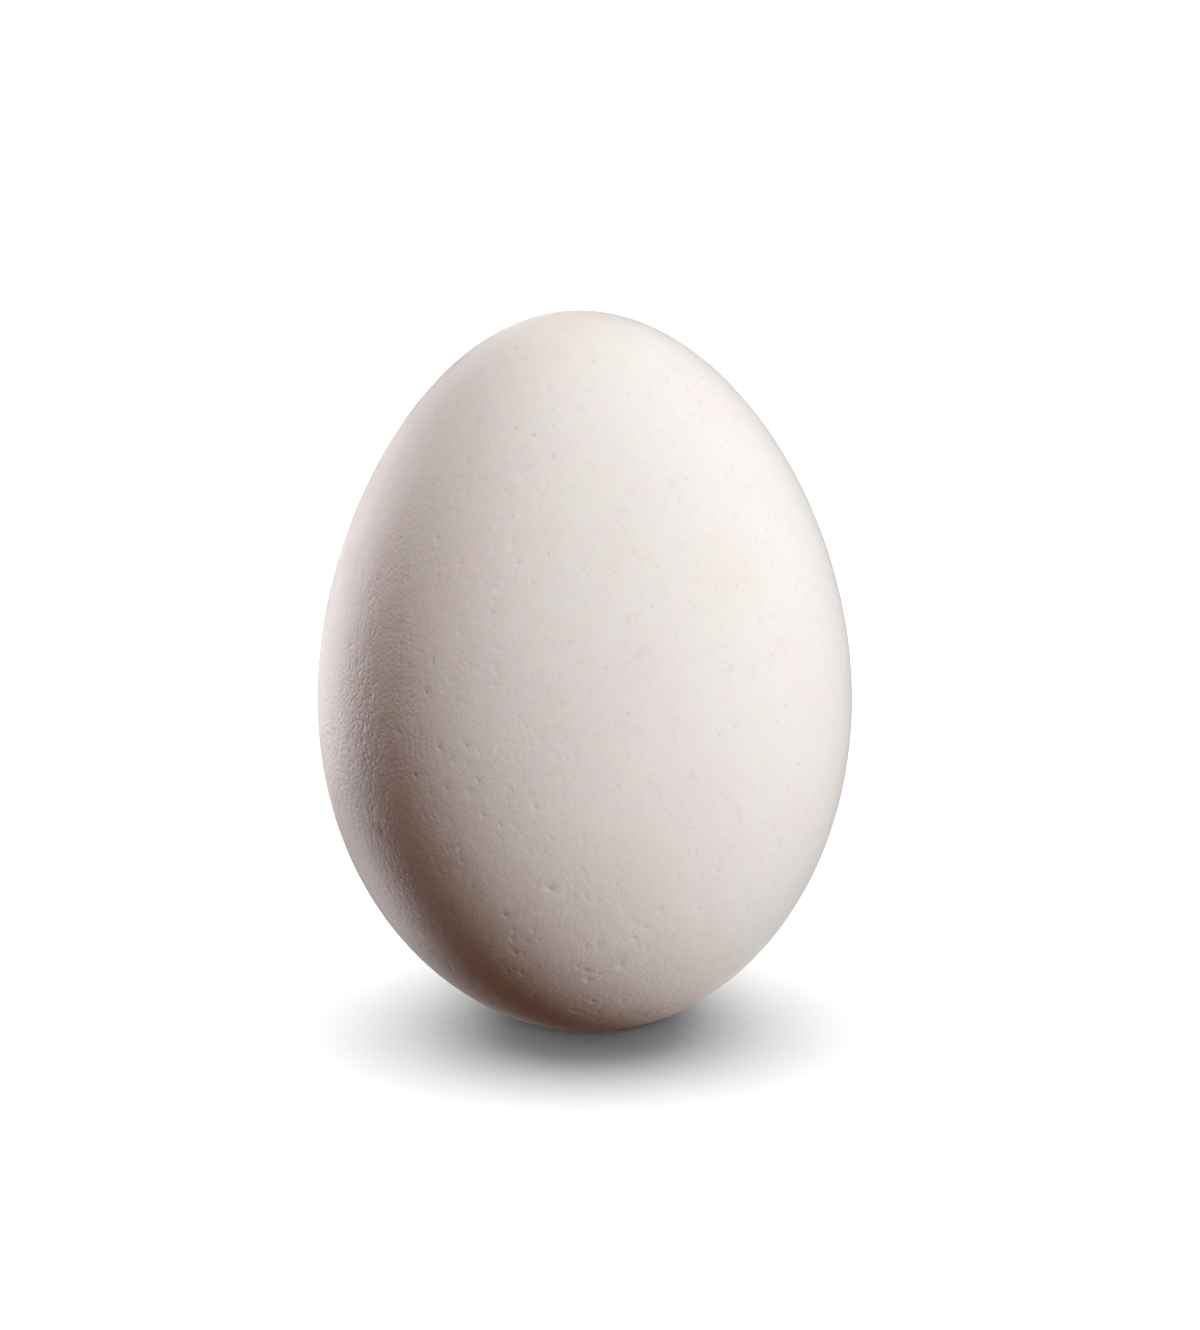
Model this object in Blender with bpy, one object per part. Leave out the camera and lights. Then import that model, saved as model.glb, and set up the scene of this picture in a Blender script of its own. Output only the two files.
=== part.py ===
"""An ostrich egg, whole, standing pointed end up on the small flat spot at its blunt end.

The egg is one closed solid. Its outline is a four-term egg curve: an ellipse whose width is
weighted by a short polynomial of the height, which draws the upper end in and fills the lower
end out. The ends of a real egg are seldom quite in line, so each ring sits a little to one side.
Lengths are in metres, +Z is up, and the origin is the centre of the flat spot.
"""

import math

import bmesh
import bpy

# Driving dimensions
EGG_LENGTH = 0.1665  # pole to pole, before the flat spot takes the lower pole away
EGG_WIDTH = 0.1220  # across the girth
FLAT_SPOT_DIAMETER = 0.0200
END_SHIFT = 0.0012  # the pointed end sits this far to -X of the girth's centre, the blunt end to +X

# The egg curve's terms: the width at height s, from -1 to 1, is weighted by 1 + T1 s + T2 s^2 + T3 s^3
TAPER = -0.084
SHOULDERS = -0.037
END_ROUNDING = 0.015

# How finely the solid is faceted
SEGMENTS_AROUND = 80
RINGS_ALONG = 44
FLAT_SPOT_EDGE_DEGREES = 10  # a crease turning by more than this is drawn sharp

SHELL_COLOUR = (0.807, 0.761, 0.701, 1.0)
SHELL_ROUGHNESS = 0.5

SEARCH_STEPS = 60


def width_weight(latitude):
    """The egg curve's half width at this latitude, as a share of its equator's."""
    s = math.sin(latitude)
    return math.cos(latitude) * (1 + TAPER * s + SHOULDERS * s**2 + END_ROUNDING * s**3)


def widest_weight():
    """The largest value that width_weight takes, found near the equator by closing in on it."""
    low, high = math.radians(-30), math.radians(30)
    for _ in range(SEARCH_STEPS):
        third = (high - low) / 3
        if width_weight(low + third) < width_weight(high - third):
            low += third
        else:
            high -= third
    return width_weight((low + high) / 2)


WIDTH_SCALE = EGG_WIDTH / 2 / widest_weight()


def radius_at(latitude):
    """The radius of the egg's ring at this latitude."""
    return WIDTH_SCALE * width_weight(latitude)


def latitude_of_flat_spot():
    """The latitude below the equator where the ring is as wide as the flat spot."""
    low, high = math.radians(-90), math.radians(-30)
    for _ in range(SEARCH_STEPS):
        middle = (low + high) / 2
        if radius_at(middle) < FLAT_SPOT_DIAMETER / 2:
            low = middle
        else:
            high = middle
    return (low + high) / 2


FLAT_LATITUDE = latitude_of_flat_spot()
GIRTH_HEIGHT = -EGG_LENGTH / 2 * math.sin(FLAT_LATITUDE)  # the egg curve's middle, above the flat spot


def half_outline():
    """The outline's points (x, z) from the flat spot's centre, round its rim and up to the top pole."""
    step = (math.radians(90) - FLAT_LATITUDE) / RINGS_ALONG
    latitudes = [FLAT_LATITUDE + ring * step for ring in range(RINGS_ALONG)]
    rings = [(radius_at(v), GIRTH_HEIGHT + EGG_LENGTH / 2 * math.sin(v)) for v in latitudes]
    return [(0.0, 0.0), *rings, (0.0, GIRTH_HEIGHT + EGG_LENGTH / 2)]


def shift_of_ring(z):
    """How far the ring at height z sits from the flat spot's centre line, along X."""
    s = (z - GIRTH_HEIGHT) / (EGG_LENGTH / 2)
    return END_SHIFT * (math.sin(FLAT_LATITUDE) ** 3 - s**3)


def egg_mesh():
    """The outline turned round the Z axis, closed at both ends, with its rings shifted."""
    shape = bmesh.new()
    points = [shape.verts.new((x, 0.0, z)) for x, z in half_outline()]
    edges = [shape.edges.new(pair) for pair in zip(points, points[1:])]
    bmesh.ops.spin(
        shape,
        geom=[*points, *edges],
        cent=(0, 0, 0),
        axis=(0, 0, 1),
        angle=math.tau,
        steps=SEGMENTS_AROUND,
        use_merge=True,
    )
    bmesh.ops.remove_doubles(shape, verts=shape.verts, dist=1e-6)
    for vertex in shape.verts:
        vertex.co.x += shift_of_ring(vertex.co.z)
    bmesh.ops.recalc_face_normals(shape, faces=shape.faces)
    mesh = bpy.data.meshes.new("egg")
    shape.to_mesh(mesh)
    shape.free()
    mesh.shade_smooth()
    mesh.set_sharp_from_angle(angle=math.radians(FLAT_SPOT_EDGE_DEGREES))
    return mesh


def eggshell():
    """Chalky off-white shell with a faint sheen."""
    material = bpy.data.materials.new("eggshell")
    material.use_nodes = True
    surface = material.node_tree.nodes["Principled BSDF"]
    surface.inputs["Base Color"].default_value = SHELL_COLOUR
    surface.inputs["Roughness"].default_value = SHELL_ROUGHNESS
    surface.inputs["Metallic"].default_value = 0.0
    return material


def main():
    for old in list(bpy.data.objects):
        bpy.data.objects.remove(old)
    egg = bpy.data.objects.new("egg", egg_mesh())
    egg.data.materials.append(eggshell())
    bpy.context.scene.collection.objects.link(egg)


main()
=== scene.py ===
"""The looks of an ostrich egg: a thick calcite shell with pits, standing on a plain white studio floor.

The shell is one mesh, shaped on the same egg curve as the solid it stands for and sized from
that solid's box. Its pits are real geometry, and only the finest grain is in its material.
Lengths are in metres unless a name says otherwise.
"""

import logging
import math
import random
from dataclasses import dataclass, field
from enum import Enum

import bmesh
import bpy
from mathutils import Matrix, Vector, kdtree, noise

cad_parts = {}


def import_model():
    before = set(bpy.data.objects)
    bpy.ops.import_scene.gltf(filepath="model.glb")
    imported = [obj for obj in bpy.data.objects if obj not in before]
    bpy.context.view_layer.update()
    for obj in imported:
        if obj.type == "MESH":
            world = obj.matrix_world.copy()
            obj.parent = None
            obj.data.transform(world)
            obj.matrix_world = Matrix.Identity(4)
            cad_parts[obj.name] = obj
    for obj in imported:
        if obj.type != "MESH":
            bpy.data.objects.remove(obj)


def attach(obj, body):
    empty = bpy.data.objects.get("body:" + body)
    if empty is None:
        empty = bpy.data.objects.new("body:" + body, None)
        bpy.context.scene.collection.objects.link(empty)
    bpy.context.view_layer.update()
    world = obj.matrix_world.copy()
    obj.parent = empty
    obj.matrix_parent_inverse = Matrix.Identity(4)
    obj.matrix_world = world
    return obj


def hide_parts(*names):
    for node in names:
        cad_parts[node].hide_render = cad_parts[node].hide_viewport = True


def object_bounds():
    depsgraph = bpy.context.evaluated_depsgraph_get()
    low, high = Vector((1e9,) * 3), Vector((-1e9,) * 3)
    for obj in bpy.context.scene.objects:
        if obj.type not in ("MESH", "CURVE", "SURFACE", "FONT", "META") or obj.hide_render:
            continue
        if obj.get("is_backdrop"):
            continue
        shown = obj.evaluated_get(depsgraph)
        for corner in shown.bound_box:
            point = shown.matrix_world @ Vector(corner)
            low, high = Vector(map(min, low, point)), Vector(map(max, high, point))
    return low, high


LOG = logging.getLogger("ostrich_egg")
MM = 0.001
FLAT_SPOT_DIAMETER = 20.0 * MM
PIT_DEPTH = "pit_depth"

Box = tuple[Vector, Vector]
Socket = bpy.types.NodeSocket


def linear(hex_colour: str) -> tuple[float, float, float, float]:
    """Turns an sRGB hex colour into the linear values that Blender works in.

    Args:
        hex_colour: Six hex digits after a hash sign.

    Returns:
        Linear red, green and blue, and an alpha of 1.
    """
    channels = [int(hex_colour[i : i + 2], 16) / 255 for i in (1, 3, 5)]
    values = [c / 12.92 if c <= 0.04045 else ((c + 0.055) / 1.055) ** 2.4 for c in channels]
    return (*values, 1.0)


def per_metre(size_mm: float) -> float:
    """The texture scale, on Object coordinates, of a pattern whose features are size_mm across."""
    return 1 / (size_mm * MM)


def add_node(
    tree: bpy.types.NodeTree,
    kind: str,
    links: dict[str | int, Socket] | None = None,
    values: dict[str | int, object] | None = None,
    **settings: object,
) -> bpy.types.Node:
    """Adds one node to a tree, with its settings, its sockets' values and what feeds it.

    Args:
        tree: The node tree to add to.
        kind: The node's type name.
        links: The output socket that feeds each named or numbered input.
        values: The value of each named or numbered input.
        settings: The node's own properties.

    Returns:
        The new node.
    """
    node = tree.nodes.new(kind)
    for name, value in settings.items():
        setattr(node, name, value)
    for key, value in (values or {}).items():
        node.inputs[key].default_value = value
    for key, source in (links or {}).items():
        tree.links.new(source, node.inputs[key])
    return node


@dataclass(frozen=True)
class EggCurve:
    """The egg's surface: a half outline turned round the Z axis, each ring a little to one side.

    At latitude v, with s = sin v, the radius is width_scale cos v (1 + T1 s + T2 s^2 + T3 s^3) and
    the height is middle + half_length s.
    """

    half_length: float
    width_scale: float
    flat_latitude: float
    end_shift: float = 1.2 * MM
    terms: tuple[float, float, float] = (-0.084, -0.037, 0.015)

    @classmethod
    def from_box(cls, box: Box, flat_diameter: float) -> "EggCurve":
        """Fits the curve to the solid's box.

        Args:
            box: The solid's lowest and highest corners.
            flat_diameter: How wide the flat spot under the egg is.

        Returns:
            The curve whose height and width are the box's.
        """
        low, high = box
        # The girth is within 30 degrees of the equator, and the flat spot's rim is further below it.
        unit = cls(half_length=1.0, width_scale=1.0, flat_latitude=0.0)
        near_girth = [math.radians(tenths / 10) for tenths in range(-300, 301)]
        width_scale = (high.y - low.y) / 2 / max(unit.radius(v) for v in near_girth)
        below, above = math.radians(-90), math.radians(-30)
        while above - below > 1e-9:
            middle = (below + above) / 2
            if width_scale * unit.radius(middle) < flat_diameter / 2:
                below = middle
            else:
                above = middle
        half_length = (high.z - low.z) / (1 - math.sin(below))
        return cls(half_length, width_scale, below)

    @property
    def middle(self) -> float:
        """The height of the curve's equator above the flat spot."""
        return -self.half_length * math.sin(self.flat_latitude)

    def weight(self, s: float) -> float:
        """The polynomial that makes an ellipse's width an egg's, at s = sin latitude."""
        first, second, third = self.terms
        return 1 + first * s + second * s**2 + third * s**3

    def weight_slope(self, s: float) -> float:
        """The slope of weight at s."""
        first, second, third = self.terms
        return first + 2 * second * s + 3 * third * s**2

    def radius(self, latitude: float) -> float:
        """The radius of the ring at this latitude."""
        return self.width_scale * math.cos(latitude) * self.weight(math.sin(latitude))

    def shift(self, s: float) -> float:
        """How far the ring at s = sin latitude sits from the flat spot's centre line, along X."""
        return self.end_shift * (math.sin(self.flat_latitude) ** 3 - s**3)

    def slopes(self, latitude: float) -> tuple[float, float]:
        """How fast the outline's radius and height change with latitude, per radian."""
        s, c = math.sin(latitude), math.cos(latitude)
        return self.width_scale * (c**2 * self.weight_slope(s) - s * self.weight(s)), self.half_length * c

    def area_share(self, latitude: float) -> float:
        """The area of a band one radian of latitude wide here, as a share of the girth's."""
        band = self.radius(latitude) * math.hypot(*self.slopes(latitude))
        return band / (self.width_scale * self.half_length)

    def point(self, latitude: float, azimuth: float, depth: float = 0.0) -> Vector:
        """A point on or under the surface.

        Args:
            latitude: Above the equator, in radians.
            azimuth: Round the Z axis from +X, in radians.
            depth: How far under the surface, square to it.

        Returns:
            The point, in the row frame.
        """
        s = math.sin(latitude)
        spread, climb = self.slopes(latitude)
        under = depth / math.hypot(spread, climb)
        radius = self.radius(latitude) - under * climb
        height = self.middle + self.half_length * s + under * spread
        return Vector((radius * math.cos(azimuth) + self.shift(s), radius * math.sin(azimuth), height))

    def place_of(self, point: Vector) -> tuple[float, float]:
        """Where a ray from the egg's middle through a point leaves the egg.

        Args:
            point: A point close to the surface.

        Returns:
            The latitude and the azimuth, in radians.
        """
        s = (point.z - self.middle) / self.half_length
        x = point.x - self.shift(max(-1.0, min(1.0, s)))
        across = math.hypot(x, point.y) / self.width_scale
        latitude = math.atan2(s, across)
        for _ in range(3):
            latitude = math.atan2(s, across / self.weight(math.sin(latitude)))
        return latitude, math.atan2(point.y, x)


class PitKind(Enum):
    """The kinds of pit: radius, depth, least distance to other pits, and how many are thrown."""

    WIDE = (0.56 * MM, 0.106 * MM, 2.30 * MM, 5_000)
    FINE = (0.36 * MM, 0.064 * MM, 1.50 * MM, 30_000)

    def __init__(self, radius: float, depth: float, spacing: float, throws: int) -> None:
        """Names the four values."""
        self.radius = radius
        self.depth = depth
        self.spacing = spacing
        self.throws = throws


@dataclass(frozen=True)
class Pit:
    """One pit: its centre on the surface, its kind, and its own radius and depth."""

    centre: Vector
    kind: PitKind
    radius: float
    depth: float


class PitField:
    """All the pits, thrown at random so that no two lie too close, and found again by place.

    A pit's radius is its kind's times a share between the two in RADIUS_SHARES. Most pits are much
    shallower than their kind's depth, by SHALLOW_POWER, and none less than LEAST_DEPTH_SHARE of it.
    """

    RADIUS_SHARES = (0.70, 1.35)
    LEAST_DEPTH_SHARE = 0.12
    SHALLOW_POWER = 2.5

    def __init__(self, curve: EggCurve, seed: int = 41, rim_margin: float = 1.4 * MM) -> None:
        """Throws the pits, the wide ones first.

        Args:
            curve: The egg's surface.
            seed: Starts the random draws.
            rim_margin: How far the pits keep above the flat spot.
        """
        self.curve = curve
        self.pits: list[Pit] = []
        self._cells: dict[tuple[int, int, int], list[Vector]] = {}
        lowest = curve.flat_latitude + rim_margin / curve.width_scale
        draw = random.Random(seed)
        for kind in PitKind:
            for _ in range(kind.throws):
                latitude = draw.uniform(lowest, math.radians(90))
                azimuth = draw.uniform(-math.pi, math.pi)
                if draw.random() < curve.area_share(latitude):
                    self._land(curve.point(latitude, azimuth), kind, draw)
        self._tree = kdtree.KDTree(len(self.pits))
        for index, pit in enumerate(self.pits):
            self._tree.insert(pit.centre, index)
        self._tree.balance()

    def _land(self, centre: Vector, kind: PitKind, draw: random.Random) -> None:
        """Keeps a thrown pit if nothing lies too close to it."""
        cell = tuple(math.floor(c / PitKind.WIDE.spacing) for c in centre)
        near = range(-1, 2)
        others = (
            other
            for i in near
            for j in near
            for k in near
            for other in self._cells.get((cell[0] + i, cell[1] + j, cell[2] + k), ())
        )
        if all((centre - other).length > kind.spacing for other in others):
            self._cells.setdefault(cell, []).append(centre)
            radius = kind.radius * draw.uniform(*self.RADIUS_SHARES)
            least = self.LEAST_DEPTH_SHARE
            depth = kind.depth * (least + (1 - least) * draw.random() ** self.SHALLOW_POWER)
            self.pits.append(Pit(centre, kind, radius, depth))

    def count(self, kind: PitKind) -> int:
        """How many pits there are of a kind."""
        return sum(pit.kind is kind for pit in self.pits)

    def nearest(self, point: Vector) -> Pit:
        """The pit whose centre is nearest to a point."""
        return self.pits[self._tree.find(point)[1]]


@dataclass(frozen=True)
class CalciteShell:
    """Ostrich eggshell: thick calcite under a thin dry cuticle, as it was laid.

    The calcite is a warm white that lets a little light in. The cuticle is dry and satin, with a
    soft sheen at the egg's edge and faint ivory, pink and cream clouds. The pits are darker the
    deeper they are: painted shade, partly also the pores' own darker tone. Small dimples and a
    grain cover the shell like orange peel. They are strongest on the -X side, beyond coarse_x, and
    faint from fine_x on. The glow is the light that goes in and comes out again a little further on,
    red the furthest.
    """

    ivory: str = "#F2F1F0"
    rose: str = "#F2EEEE"
    cream: str = "#F1EFEB"
    cloud_mm: float = 34.0
    cloud_stops: tuple[float, float, float] = (0.34, 0.5, 0.66)
    # Painted shade in the pits, darker the deeper they are, partly also the pores' own darker tone.
    pit_shade_and_pore_tone: str = "#CFC6C0"
    pit_shade_and_pore_tone_share: float = 0.35
    ior: float = 1.5
    roughness: float = 0.5
    diffuse_roughness: float = 1.0
    sheen: float = 0.4
    sheen_roughness: float = 0.35
    glow: float = 0.25
    glow_reach: float = 4.0 * MM
    glow_reach_by_colour: tuple[float, float, float] = (1.0, 0.5, 0.3)
    dimple_mm: float = 1.15
    dimple_blend: float = 0.25
    dimple_edge: tuple[float, float] = (0.05, 0.60)
    dimple_depth: float = 0.12 * MM
    dimple_strength: float = 0.8
    grain_mm: float = 0.60
    grain_depth: float = 0.10 * MM
    grain_strength: float = 0.6
    fine_x: float = -32.0 * MM
    fine_share: float = 0.20
    coarse_x: float = -52.0 * MM
    coarse_share: float = 0.75

    def make(self) -> bpy.types.Material:
        """Makes the shell's material.

        Returns:
            The material, which reads Object coordinates and the mesh's own pit depths.
        """
        material = bpy.data.materials.new("calcite_eggshell")
        material.use_nodes = True
        tree = material.node_tree
        place = add_node(tree, "ShaderNodeTexCoord").outputs["Object"]
        surface = tree.nodes["Principled BSDF"]
        surface.inputs["IOR"].default_value = self.ior
        surface.inputs["Roughness"].default_value = self.roughness
        surface.inputs["Diffuse Roughness"].default_value = self.diffuse_roughness
        surface.inputs["Sheen Weight"].default_value = self.sheen
        surface.inputs["Sheen Roughness"].default_value = self.sheen_roughness
        surface.inputs["Subsurface Weight"].default_value = self.glow
        surface.inputs["Subsurface Radius"].default_value = self.glow_reach_by_colour
        surface.inputs["Subsurface Scale"].default_value = self.glow_reach
        tree.links.new(self._colour(tree, place), surface.inputs["Base Color"])
        tree.links.new(self._relief(tree, place), surface.inputs["Normal"])
        return material

    def _colour(self, tree: bpy.types.NodeTree, place: Socket) -> Socket:
        """The shell's colour: three near whites in clouds, and painted shade in the pits, partly also the
        pores' own darker tone.

        Args:
            tree: The material's node tree.
            place: Object coordinates.

        Returns:
            The colour socket.
        """
        clouds = add_node(
            tree,
            "ShaderNodeTexNoise",
            {"Vector": place},
            {"Scale": per_metre(self.cloud_mm), "Detail": 3.0, "Roughness": 0.55},
        )
        ramp = add_node(tree, "ShaderNodeValToRGB", {"Fac": clouds.outputs["Fac"]})
        low, middle, high = self.cloud_stops
        stops = ramp.color_ramp.elements
        stops[0].position, stops[1].position = low, high
        stops[0].color, stops[1].color = linear(self.rose), linear(self.cream)
        stops.new(middle).color = linear(self.ivory)
        # Painted shade: the pits darken with their depth, partly also the pores' own darker tone.
        depth = add_node(tree, "ShaderNodeAttribute", attribute_name=PIT_DEPTH)
        share = add_node(
            tree,
            "ShaderNodeMath",
            {0: depth.outputs["Fac"]},
            {1: self.pit_shade_and_pore_tone_share},
            operation="MULTIPLY",
        )
        pit_shaded = add_node(
            tree,
            "ShaderNodeMixRGB",
            {"Fac": share.outputs["Value"], "Color1": ramp.outputs["Color"]},
            {"Color2": linear(self.pit_shade_and_pore_tone)},
        )
        return pit_shaded.outputs["Color"]

    def _relief(self, tree: bpy.types.NodeTree, place: Socket) -> Socket:
        """The relief too fine for the mesh: small dimples, and the cuticle's grain over them.

        Args:
            tree: The material's node tree.
            place: Object coordinates.

        Returns:
            The normal socket.
        """
        cells = add_node(
            tree,
            "ShaderNodeTexVoronoi",
            {"Vector": place},
            {"Scale": per_metre(self.dimple_mm), "Smoothness": self.dimple_blend},
            feature="SMOOTH_F1",
        )
        low, high = self.dimple_edge
        dimples = add_node(
            tree,
            "ShaderNodeMapRange",
            {"Value": cells.outputs["Distance"]},
            {"From Min": low, "From Max": high},
            interpolation_type="SMOOTHSTEP",
        )
        grain = add_node(
            tree,
            "ShaderNodeTexNoise",
            {"Vector": place},
            {"Scale": per_metre(self.grain_mm), "Detail": 2.0},
        )
        across = add_node(tree, "ShaderNodeSeparateXYZ", {"Vector": place})
        fine = {"From Min": self.fine_x, "To Min": self.fine_share}
        coarse = {"From Max": self.coarse_x, "To Max": self.coarse_share}
        share = add_node(
            tree,
            "ShaderNodeMapRange",
            {"Value": across.outputs["X"]},
            fine | coarse,
            interpolation_type="SMOOTHSTEP",
        )
        dimpled = add_node(
            tree,
            "ShaderNodeBump",
            {"Height": self._scaled(tree, dimples.outputs["Result"], share.outputs["Result"])},
            {"Strength": self.dimple_strength, "Distance": self.dimple_depth},
        )
        grained = add_node(
            tree,
            "ShaderNodeBump",
            {
                "Height": self._scaled(tree, grain.outputs["Fac"], share.outputs["Result"]),
                "Normal": dimpled.outputs["Normal"],
            },
            {"Strength": self.grain_strength, "Distance": self.grain_depth},
        )
        return grained.outputs["Normal"]

    @staticmethod
    def _scaled(tree: bpy.types.NodeTree, height: Socket, share: Socket) -> Socket:
        """A height times its share at each place."""
        product = add_node(tree, "ShaderNodeMath", {0: height, 1: share}, operation="MULTIPLY")
        return product.outputs["Value"]


@dataclass
class Shell:
    """The egg's shell: a closed skin with every pit a hollow in the mesh.

    The skin is first stretched over the pits' centres. Each centre is opened into a small mouth,
    the mouths are sunk in steps, and then every point is set on the egg curve at its own depth.

    Attributes:
        curve: The egg's surface.
        flat_diameter: How wide the flat spot is.
        pit_field: The pits, found by place.
        finish: What the shell is made of.
        rim_points: Points round the flat spot.
        rim_band: How wide the ring of faces inside the flat spot's rim is.
        mouth: How far a pit's centre is first opened.
        mouth_shares: How far a mouth's corners reach at least and at most, as shares of its radius.
        lip: How far inside a wide pit's mouth its floor is first cut.
        floor_width_share: How wide a wide pit's floor is, as a share of its mouth.
        floor_depth_share: How deep that floor's edge lies, as a share of the pit's depth.
        crown_slope: How far the shell rises or falls between pits, as a share of the width there.
        swell: Half the greatest depth of the slow swell.
        swell_size: How wide one swell is.
        level: The height under which a point belongs to the flat spot.
        seed: Starts the random draws.
        draw: The random draws.
    """

    curve: EggCurve
    flat_diameter: float
    pit_field: PitField
    finish: CalciteShell = field(default_factory=CalciteShell)
    rim_points: int = 72
    rim_band: float = 0.5 * MM
    mouth: float = 0.5 * MM
    mouth_shares: tuple[float, float] = (0.86, 1.14)
    lip: float = 0.01 * MM
    floor_width_share: float = 0.55
    floor_depth_share: float = 0.68
    crown_slope: float = 0.011
    swell: float = 0.03 * MM
    swell_size: float = 7.0 * MM
    level: float = 0.001 * MM
    seed: int = 7
    draw: random.Random = field(init=False)

    def __post_init__(self) -> None:
        """Starts the random draws."""
        self.draw = random.Random(self.seed)

    def build(self) -> bpy.types.Object:
        """Builds the shell and dresses it.

        Returns:
            The shell's object, at the origin.
        """
        shape = bmesh.new()
        shape.verts.layers.float.new(PIT_DEPTH)
        LOG.info("pits: %s", {kind.name: self.pit_field.count(kind) for kind in PitKind})
        self._stretch_skin(shape)
        self._sink_pits(shape, self._open_pits(shape))
        self._settle(shape)
        mesh = bpy.data.meshes.new("shell")
        bmesh.ops.triangulate(shape, faces=shape.faces)
        bmesh.ops.recalc_face_normals(shape, faces=shape.faces)
        shape.to_mesh(mesh)
        shape.free()
        mesh.shade_smooth()
        mesh.materials.append(self.finish.make())
        shell = bpy.data.objects.new("shell", mesh)
        bpy.context.scene.collection.objects.link(shell)
        LOG.info("shell: %d triangles", len(mesh.polygons))
        return shell

    def _stretch_skin(self, shape: bmesh.types.BMesh) -> None:
        """Stretches a closed skin over the pits' centres and the flat spot's rim."""
        for pit in self.pit_field.pits:
            shape.verts.new(pit.centre)
        bmesh.ops.create_circle(shape, segments=self.rim_points, radius=self.flat_diameter / 2)
        bmesh.ops.convex_hull(shape, input=shape.verts)
        under = [face for face in shape.faces if self._is_level(face)]
        bmesh.ops.dissolve_faces(shape, faces=under)

    def _is_level(self, face: bmesh.types.BMFace) -> bool:
        """Whether a face lies in the flat spot."""
        return all(corner.co.z < self.level for corner in face.verts)

    def _open_pits(self, shape: bmesh.types.BMesh) -> list[bmesh.types.BMFace]:
        """Opens each pit's centre into a many-sided mouth, no two alike.

        Args:
            shape: The skin.

        Returns:
            The mouths.
        """
        centres = [point for point in shape.verts if point.co.z > self.level]
        opened = bmesh.ops.bevel(
            shape,
            geom=centres,
            offset=self.mouth,
            offset_type="OFFSET",
            affect="VERTICES",
            segments=1,
            profile=0.5,
            material=-1,
        )
        for mouth in opened["faces"]:
            pit = self.pit_field.nearest(mouth.calc_center_median())
            for corner in mouth.verts:
                reach = pit.radius * self.draw.uniform(*self.mouth_shares)
                corner.co = pit.centre + (corner.co - pit.centre).normalized() * reach
        return opened["faces"]

    def _sink_pits(self, shape: bmesh.types.BMesh, mouths: list[bmesh.types.BMFace]) -> None:
        """Gives each wide pit a floor, every pit a deepest point, and the faces between pits a crown.

        Args:
            shape: The skin with its mouths open.
            mouths: The pits' mouths.
        """
        depth = shape.verts.layers.float[PIT_DEPTH]
        opened = set(mouths)
        crowns = [face for face in shape.faces if face not in opened and not self._is_level(face)]
        wide = [m for m in mouths if self.pit_field.nearest(m.calc_center_median()).kind is PitKind.WIDE]
        bmesh.ops.inset_individual(shape, faces=wide, thickness=self.lip, use_even_offset=True)
        for floor in wide:
            pit = self.pit_field.nearest(floor.calc_center_median())
            for corner in floor.verts:
                corner.co = pit.centre.lerp(corner.co, self.floor_width_share)
                corner[depth] = pit.depth * self.floor_depth_share
        for bottom in bmesh.ops.poke(shape, faces=mouths, center_mode="MEAN")["verts"]:
            bottom[depth] = self.pit_field.nearest(bottom.co).depth
        for top in bmesh.ops.poke(shape, faces=crowns, center_mode="MEAN")["verts"]:
            width = math.sqrt(sum(face.calc_area() for face in top.link_faces))
            top[depth] = self.draw.gauss(0, self.crown_slope) * width
        flat = [face for face in shape.faces if self._is_level(face)]
        bmesh.ops.inset_region(shape, faces=flat, thickness=self.rim_band, use_even_offset=True)

    def _settle(self, shape: bmesh.types.BMesh) -> None:
        """Sets every point but the flat spot's on the egg curve, at its own depth and a slow swell."""
        depth = shape.verts.layers.float[PIT_DEPTH]
        for point in shape.verts:
            if point.co.z < self.level:
                continue
            swell = self.swell * (1 + noise.noise(point.co / self.swell_size))
            latitude, azimuth = self.curve.place_of(point.co)
            point.co = self.curve.point(latitude, azimuth, point[depth] + swell)
            # This depth share darkens the pits in the material: painted shade, partly also the pores' own
            # tone.
            point[depth] = max(0.0, min(1.0, point[depth] / PitKind.WIDE.depth))


class Lit(Enum):
    """What a lamp lights."""

    EGG = "egg"
    FLOOR = "floor"


@dataclass(frozen=True)
class Softbox:
    """A soft lamp that faces the egg's middle.

    The azimuth is to the right of the camera and the elevation above the egg's middle, in degrees.
    A lamp that isn't glossy leaves no highlight, and one that isn't matt leaves nothing else.
    """

    name: str
    azimuth: float
    elevation: float
    distance: float
    width: float
    height: float
    watts: float
    colour: str
    matt: bool = True
    glossy: bool = True

    def place(self, target: Vector) -> bpy.types.Object:
        """Hangs the lamp.

        Args:
            target: The point that it faces.

        Returns:
            The lamp's object.
        """
        lamp = bpy.data.lights.new(self.name, "AREA")
        lamp.shape = "RECTANGLE"
        lamp.size, lamp.size_y = self.width, self.height
        lamp.energy = self.watts
        lamp.color = linear(self.colour)[:3]
        holder = bpy.data.objects.new(self.name, lamp)
        bpy.context.scene.collection.objects.link(holder)
        away = direction(self.azimuth, self.elevation)
        holder.location = target + away * self.distance
        holder.visible_camera = False
        holder.visible_diffuse = self.matt
        holder.visible_glossy = self.glossy
        holder.rotation_euler = away.to_track_quat("Z", "Y").to_euler()
        return holder


@dataclass(frozen=True)
class Sky:
    """A wide soft light from very far away, the same all over what it lights. Its angles are in degrees."""

    name: str
    azimuth: float
    elevation: float
    spread: float
    strength: float
    colour: str
    lights: Lit

    def place(self) -> bpy.types.Object:
        """Hangs the lamp.

        Returns:
            The lamp's object.
        """
        lamp = bpy.data.lights.new(self.name, "SUN")
        lamp.angle = math.radians(self.spread)
        lamp.energy = self.strength
        lamp.color = linear(self.colour)[:3]
        holder = bpy.data.objects.new(self.name, lamp)
        bpy.context.scene.collection.objects.link(holder)
        holder.rotation_euler = direction(self.azimuth, self.elevation).to_track_quat("Z", "Y").to_euler()
        return holder


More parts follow.
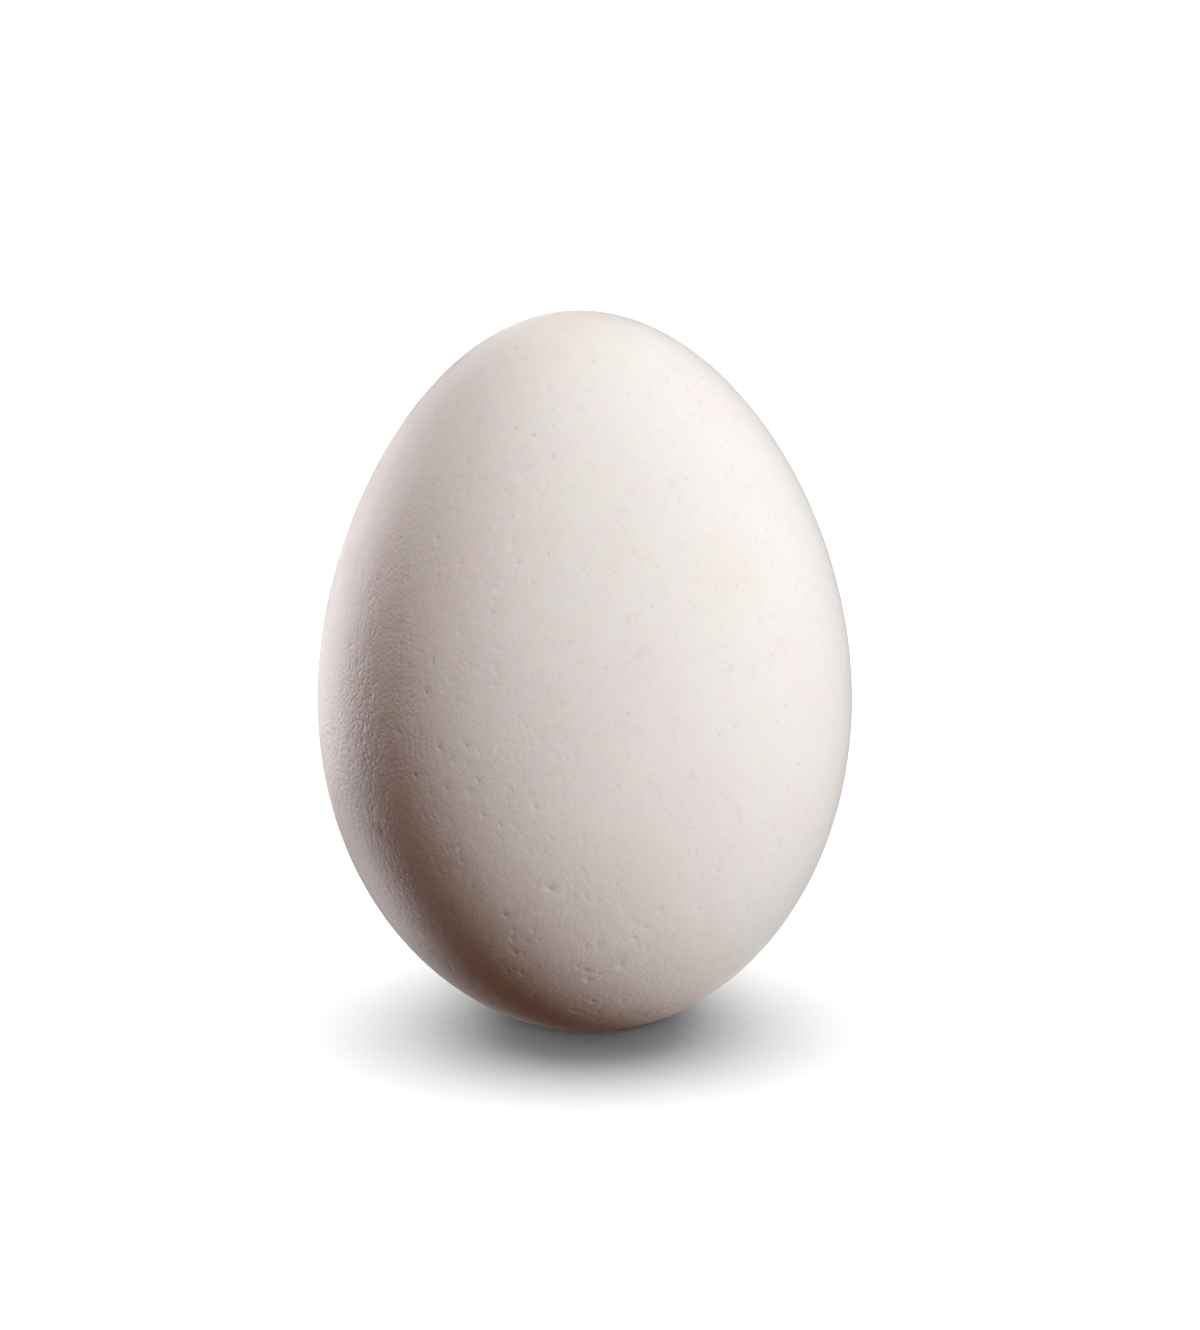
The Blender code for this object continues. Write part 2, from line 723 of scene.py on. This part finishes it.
def direction(azimuth: float, elevation: float) -> Vector:
    """The unit vector from the egg towards a place in the studio.

    Args:
        azimuth: Degrees to the right of the camera.
        elevation: Degrees above the horizon.

    Returns:
        The direction, in the row frame.
    """
    turn, rise = math.radians(azimuth), math.radians(elevation)
    return Vector((math.sin(turn) * math.cos(rise), -math.cos(turn) * math.cos(rise), math.sin(rise)))


@dataclass
class Studio:
    """The white floor, the lamps and the camera."""

    box: Box
    camera_elevation: float = 14.0
    lens_mm: float = 100.0
    sensor_mm: float = 36.0
    picture_px: tuple[int, int] = (1200, 1330)
    egg_centre_px: tuple[float, float] = (584.8, 671.8)
    egg_width_px: float = 536.0
    floor_radius: float = 60.0
    floor_colour: str = "#E9E9E9"
    softboxes: tuple[Softbox, ...] = (
        Softbox("key", 49, 36, 1.4, 0.32, 0.32, 6.7, "#D5F7FF", glossy=False),
        Softbox("low_key", 38, 28, 1.2, 0.36, 0.36, 10.9, "#FFF5F0", glossy=False),
        Softbox("rim", -127, 2, 1.0, 0.16, 0.8, 8.6, "#FFFCFF"),
        Softbox("low_rim", -132, -36, 1.0, 0.3, 0.3, 1.45, "#FFFCFF"),
        Softbox("top", -120, 52, 1.0, 0.4, 0.4, 2.1, "#FFE6DC", glossy=False),
        Softbox("edge", -151, 2, 1.0, 0.2, 0.8, 3.4, "#FFFFFF", matt=False),
    )
    skies: tuple[Sky, ...] = (
        Sky("fill", 0, 14, 178, 0.25, "#FF903E", Lit.EGG),
        Sky("back_fill", 160, 0, 178, 0.08, "#FFAF7C", Lit.EGG),
        Sky("overhead", 180, 84, 178, 0.5, "#FFFFFF", Lit.FLOOR),
        Sky("ceiling", 180, 74, 100, 4.2, "#FFFFFF", Lit.FLOOR),
        Sky("floor_left", -90, 45, 60, 0.97, "#FFFFFF", Lit.FLOOR),
        Sky("floor_right", 90, 45, 60, 1.03, "#FFFFFF", Lit.FLOOR),
        Sky("floor_front", 0, 16, 30, 1.18, "#FFFFFF", Lit.FLOOR),
    )

    @property
    def target(self) -> Vector:
        """The egg's middle."""
        low, high = self.box
        return (low + high) / 2

    def build(self, shell: bpy.types.Object) -> None:
        """Sets up the whole studio round the egg.

        Each lamp lights the egg alone or the floor alone, and only the egg throws a shadow.

        Args:
            shell: The egg's shell.
        """
        floor = self._floor()
        # The floor takes the egg's shadow and none of its colour, as in the photograph.
        shell.visible_diffuse = False
        groups = {Lit.EGG: self._group("lit_egg", shell), Lit.FLOOR: self._group("lit_floor", floor)}
        lamps = [(softbox.place(self.target), Lit.EGG) for softbox in self.softboxes]
        lamps += [(sky.place(), sky.lights) for sky in self.skies]
        for lamp, lit in lamps:
            lamp.light_linking.receiver_collection = groups[lit]
            lamp.light_linking.blocker_collection = groups[Lit.EGG]
        self._surroundings()
        self._camera()
        view = bpy.context.scene.view_settings
        view.view_transform = "Standard"
        view.look = "None"

    def _group(self, name: str, member: bpy.types.Object) -> bpy.types.Collection:
        """A collection of one object, for lamps to light."""
        group = bpy.data.collections.new(name)
        group.objects.link(member)
        return group

    def _floor(self) -> bpy.types.Object:
        """A level sheet of matt white card that reaches past the picture's edges.

        Returns:
            The floor, marked as stage. It throws no light back on to the shell.
        """
        shape = bmesh.new()
        bmesh.ops.create_circle(shape, cap_ends=True, segments=64, radius=self.floor_radius)
        mesh = bpy.data.meshes.new("floor")
        shape.to_mesh(mesh)
        shape.free()
        card = bpy.data.materials.new("matt_white_card")
        card.use_nodes = True
        surface = card.node_tree.nodes["Principled BSDF"]
        surface.inputs["Base Color"].default_value = linear(self.floor_colour)
        surface.inputs["Roughness"].default_value = 1.0
        surface.inputs["Specular IOR Level"].default_value = 0.0
        mesh.materials.append(card)
        floor = bpy.data.objects.new("floor", mesh)
        bpy.context.scene.collection.objects.link(floor)
        floor.visible_diffuse = False
        floor.visible_glossy = False
        floor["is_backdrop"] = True
        return floor

    def _surroundings(self) -> None:
        """A white room behind everything, seen only directly, so that the lamps alone light the egg."""
        world = bpy.data.worlds.new("white_room")
        world.use_nodes = True
        tree = world.node_tree
        room = tree.nodes["Background"]
        room.inputs["Color"].default_value = linear("#FFFFFF")
        path = add_node(tree, "ShaderNodeLightPath")
        tree.links.new(path.outputs["Is Camera Ray"], room.inputs["Strength"])
        bpy.context.scene.world = world

    def _camera(self) -> None:
        """A camera at the photograph's angle, with the egg as large and as placed as it is there."""
        low, high = self.box
        radius = (high.y - low.y) / 2
        pixels = self.lens_mm / self.sensor_mm * max(self.picture_px)
        distance = math.hypot(pixels * radius / (self.egg_width_px / 2), radius)
        camera = bpy.data.cameras.new("camera")
        camera.lens = self.lens_mm
        camera.sensor_width = self.sensor_mm
        camera.clip_end = 4 * self.floor_radius
        holder = bpy.data.objects.new("camera", camera)
        bpy.context.scene.collection.objects.link(holder)
        back = direction(0, self.camera_elevation)
        holder.location = self.target + back * distance
        up = back.cross(Vector((1, 0, 0)))
        wide, tall = self.picture_px
        aside = (wide / 2 - self.egg_centre_px[0]) / pixels * distance
        above = (self.egg_centre_px[1] - tall / 2) / pixels * distance
        aim = self.target + Vector((aside, 0, 0)) + up * above
        holder.rotation_euler = (holder.location - aim).to_track_quat("Z", "Y").to_euler()
        bpy.context.scene.camera = holder


def main() -> None:
    """Builds the egg and its studio."""
    logging.basicConfig(level=logging.INFO, format="%(name)s: %(message)s")
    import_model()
    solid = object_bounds()
    curve = EggCurve.from_box(solid, FLAT_SPOT_DIAMETER)
    shell = Shell(curve, FLAT_SPOT_DIAMETER, PitField(curve)).build()
    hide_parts("egg")
    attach(shell, "root")
    LOG.info("shell stands for egg and rides on root")
    Studio(solid).build(shell)


if __name__ == "__main__":
    main()
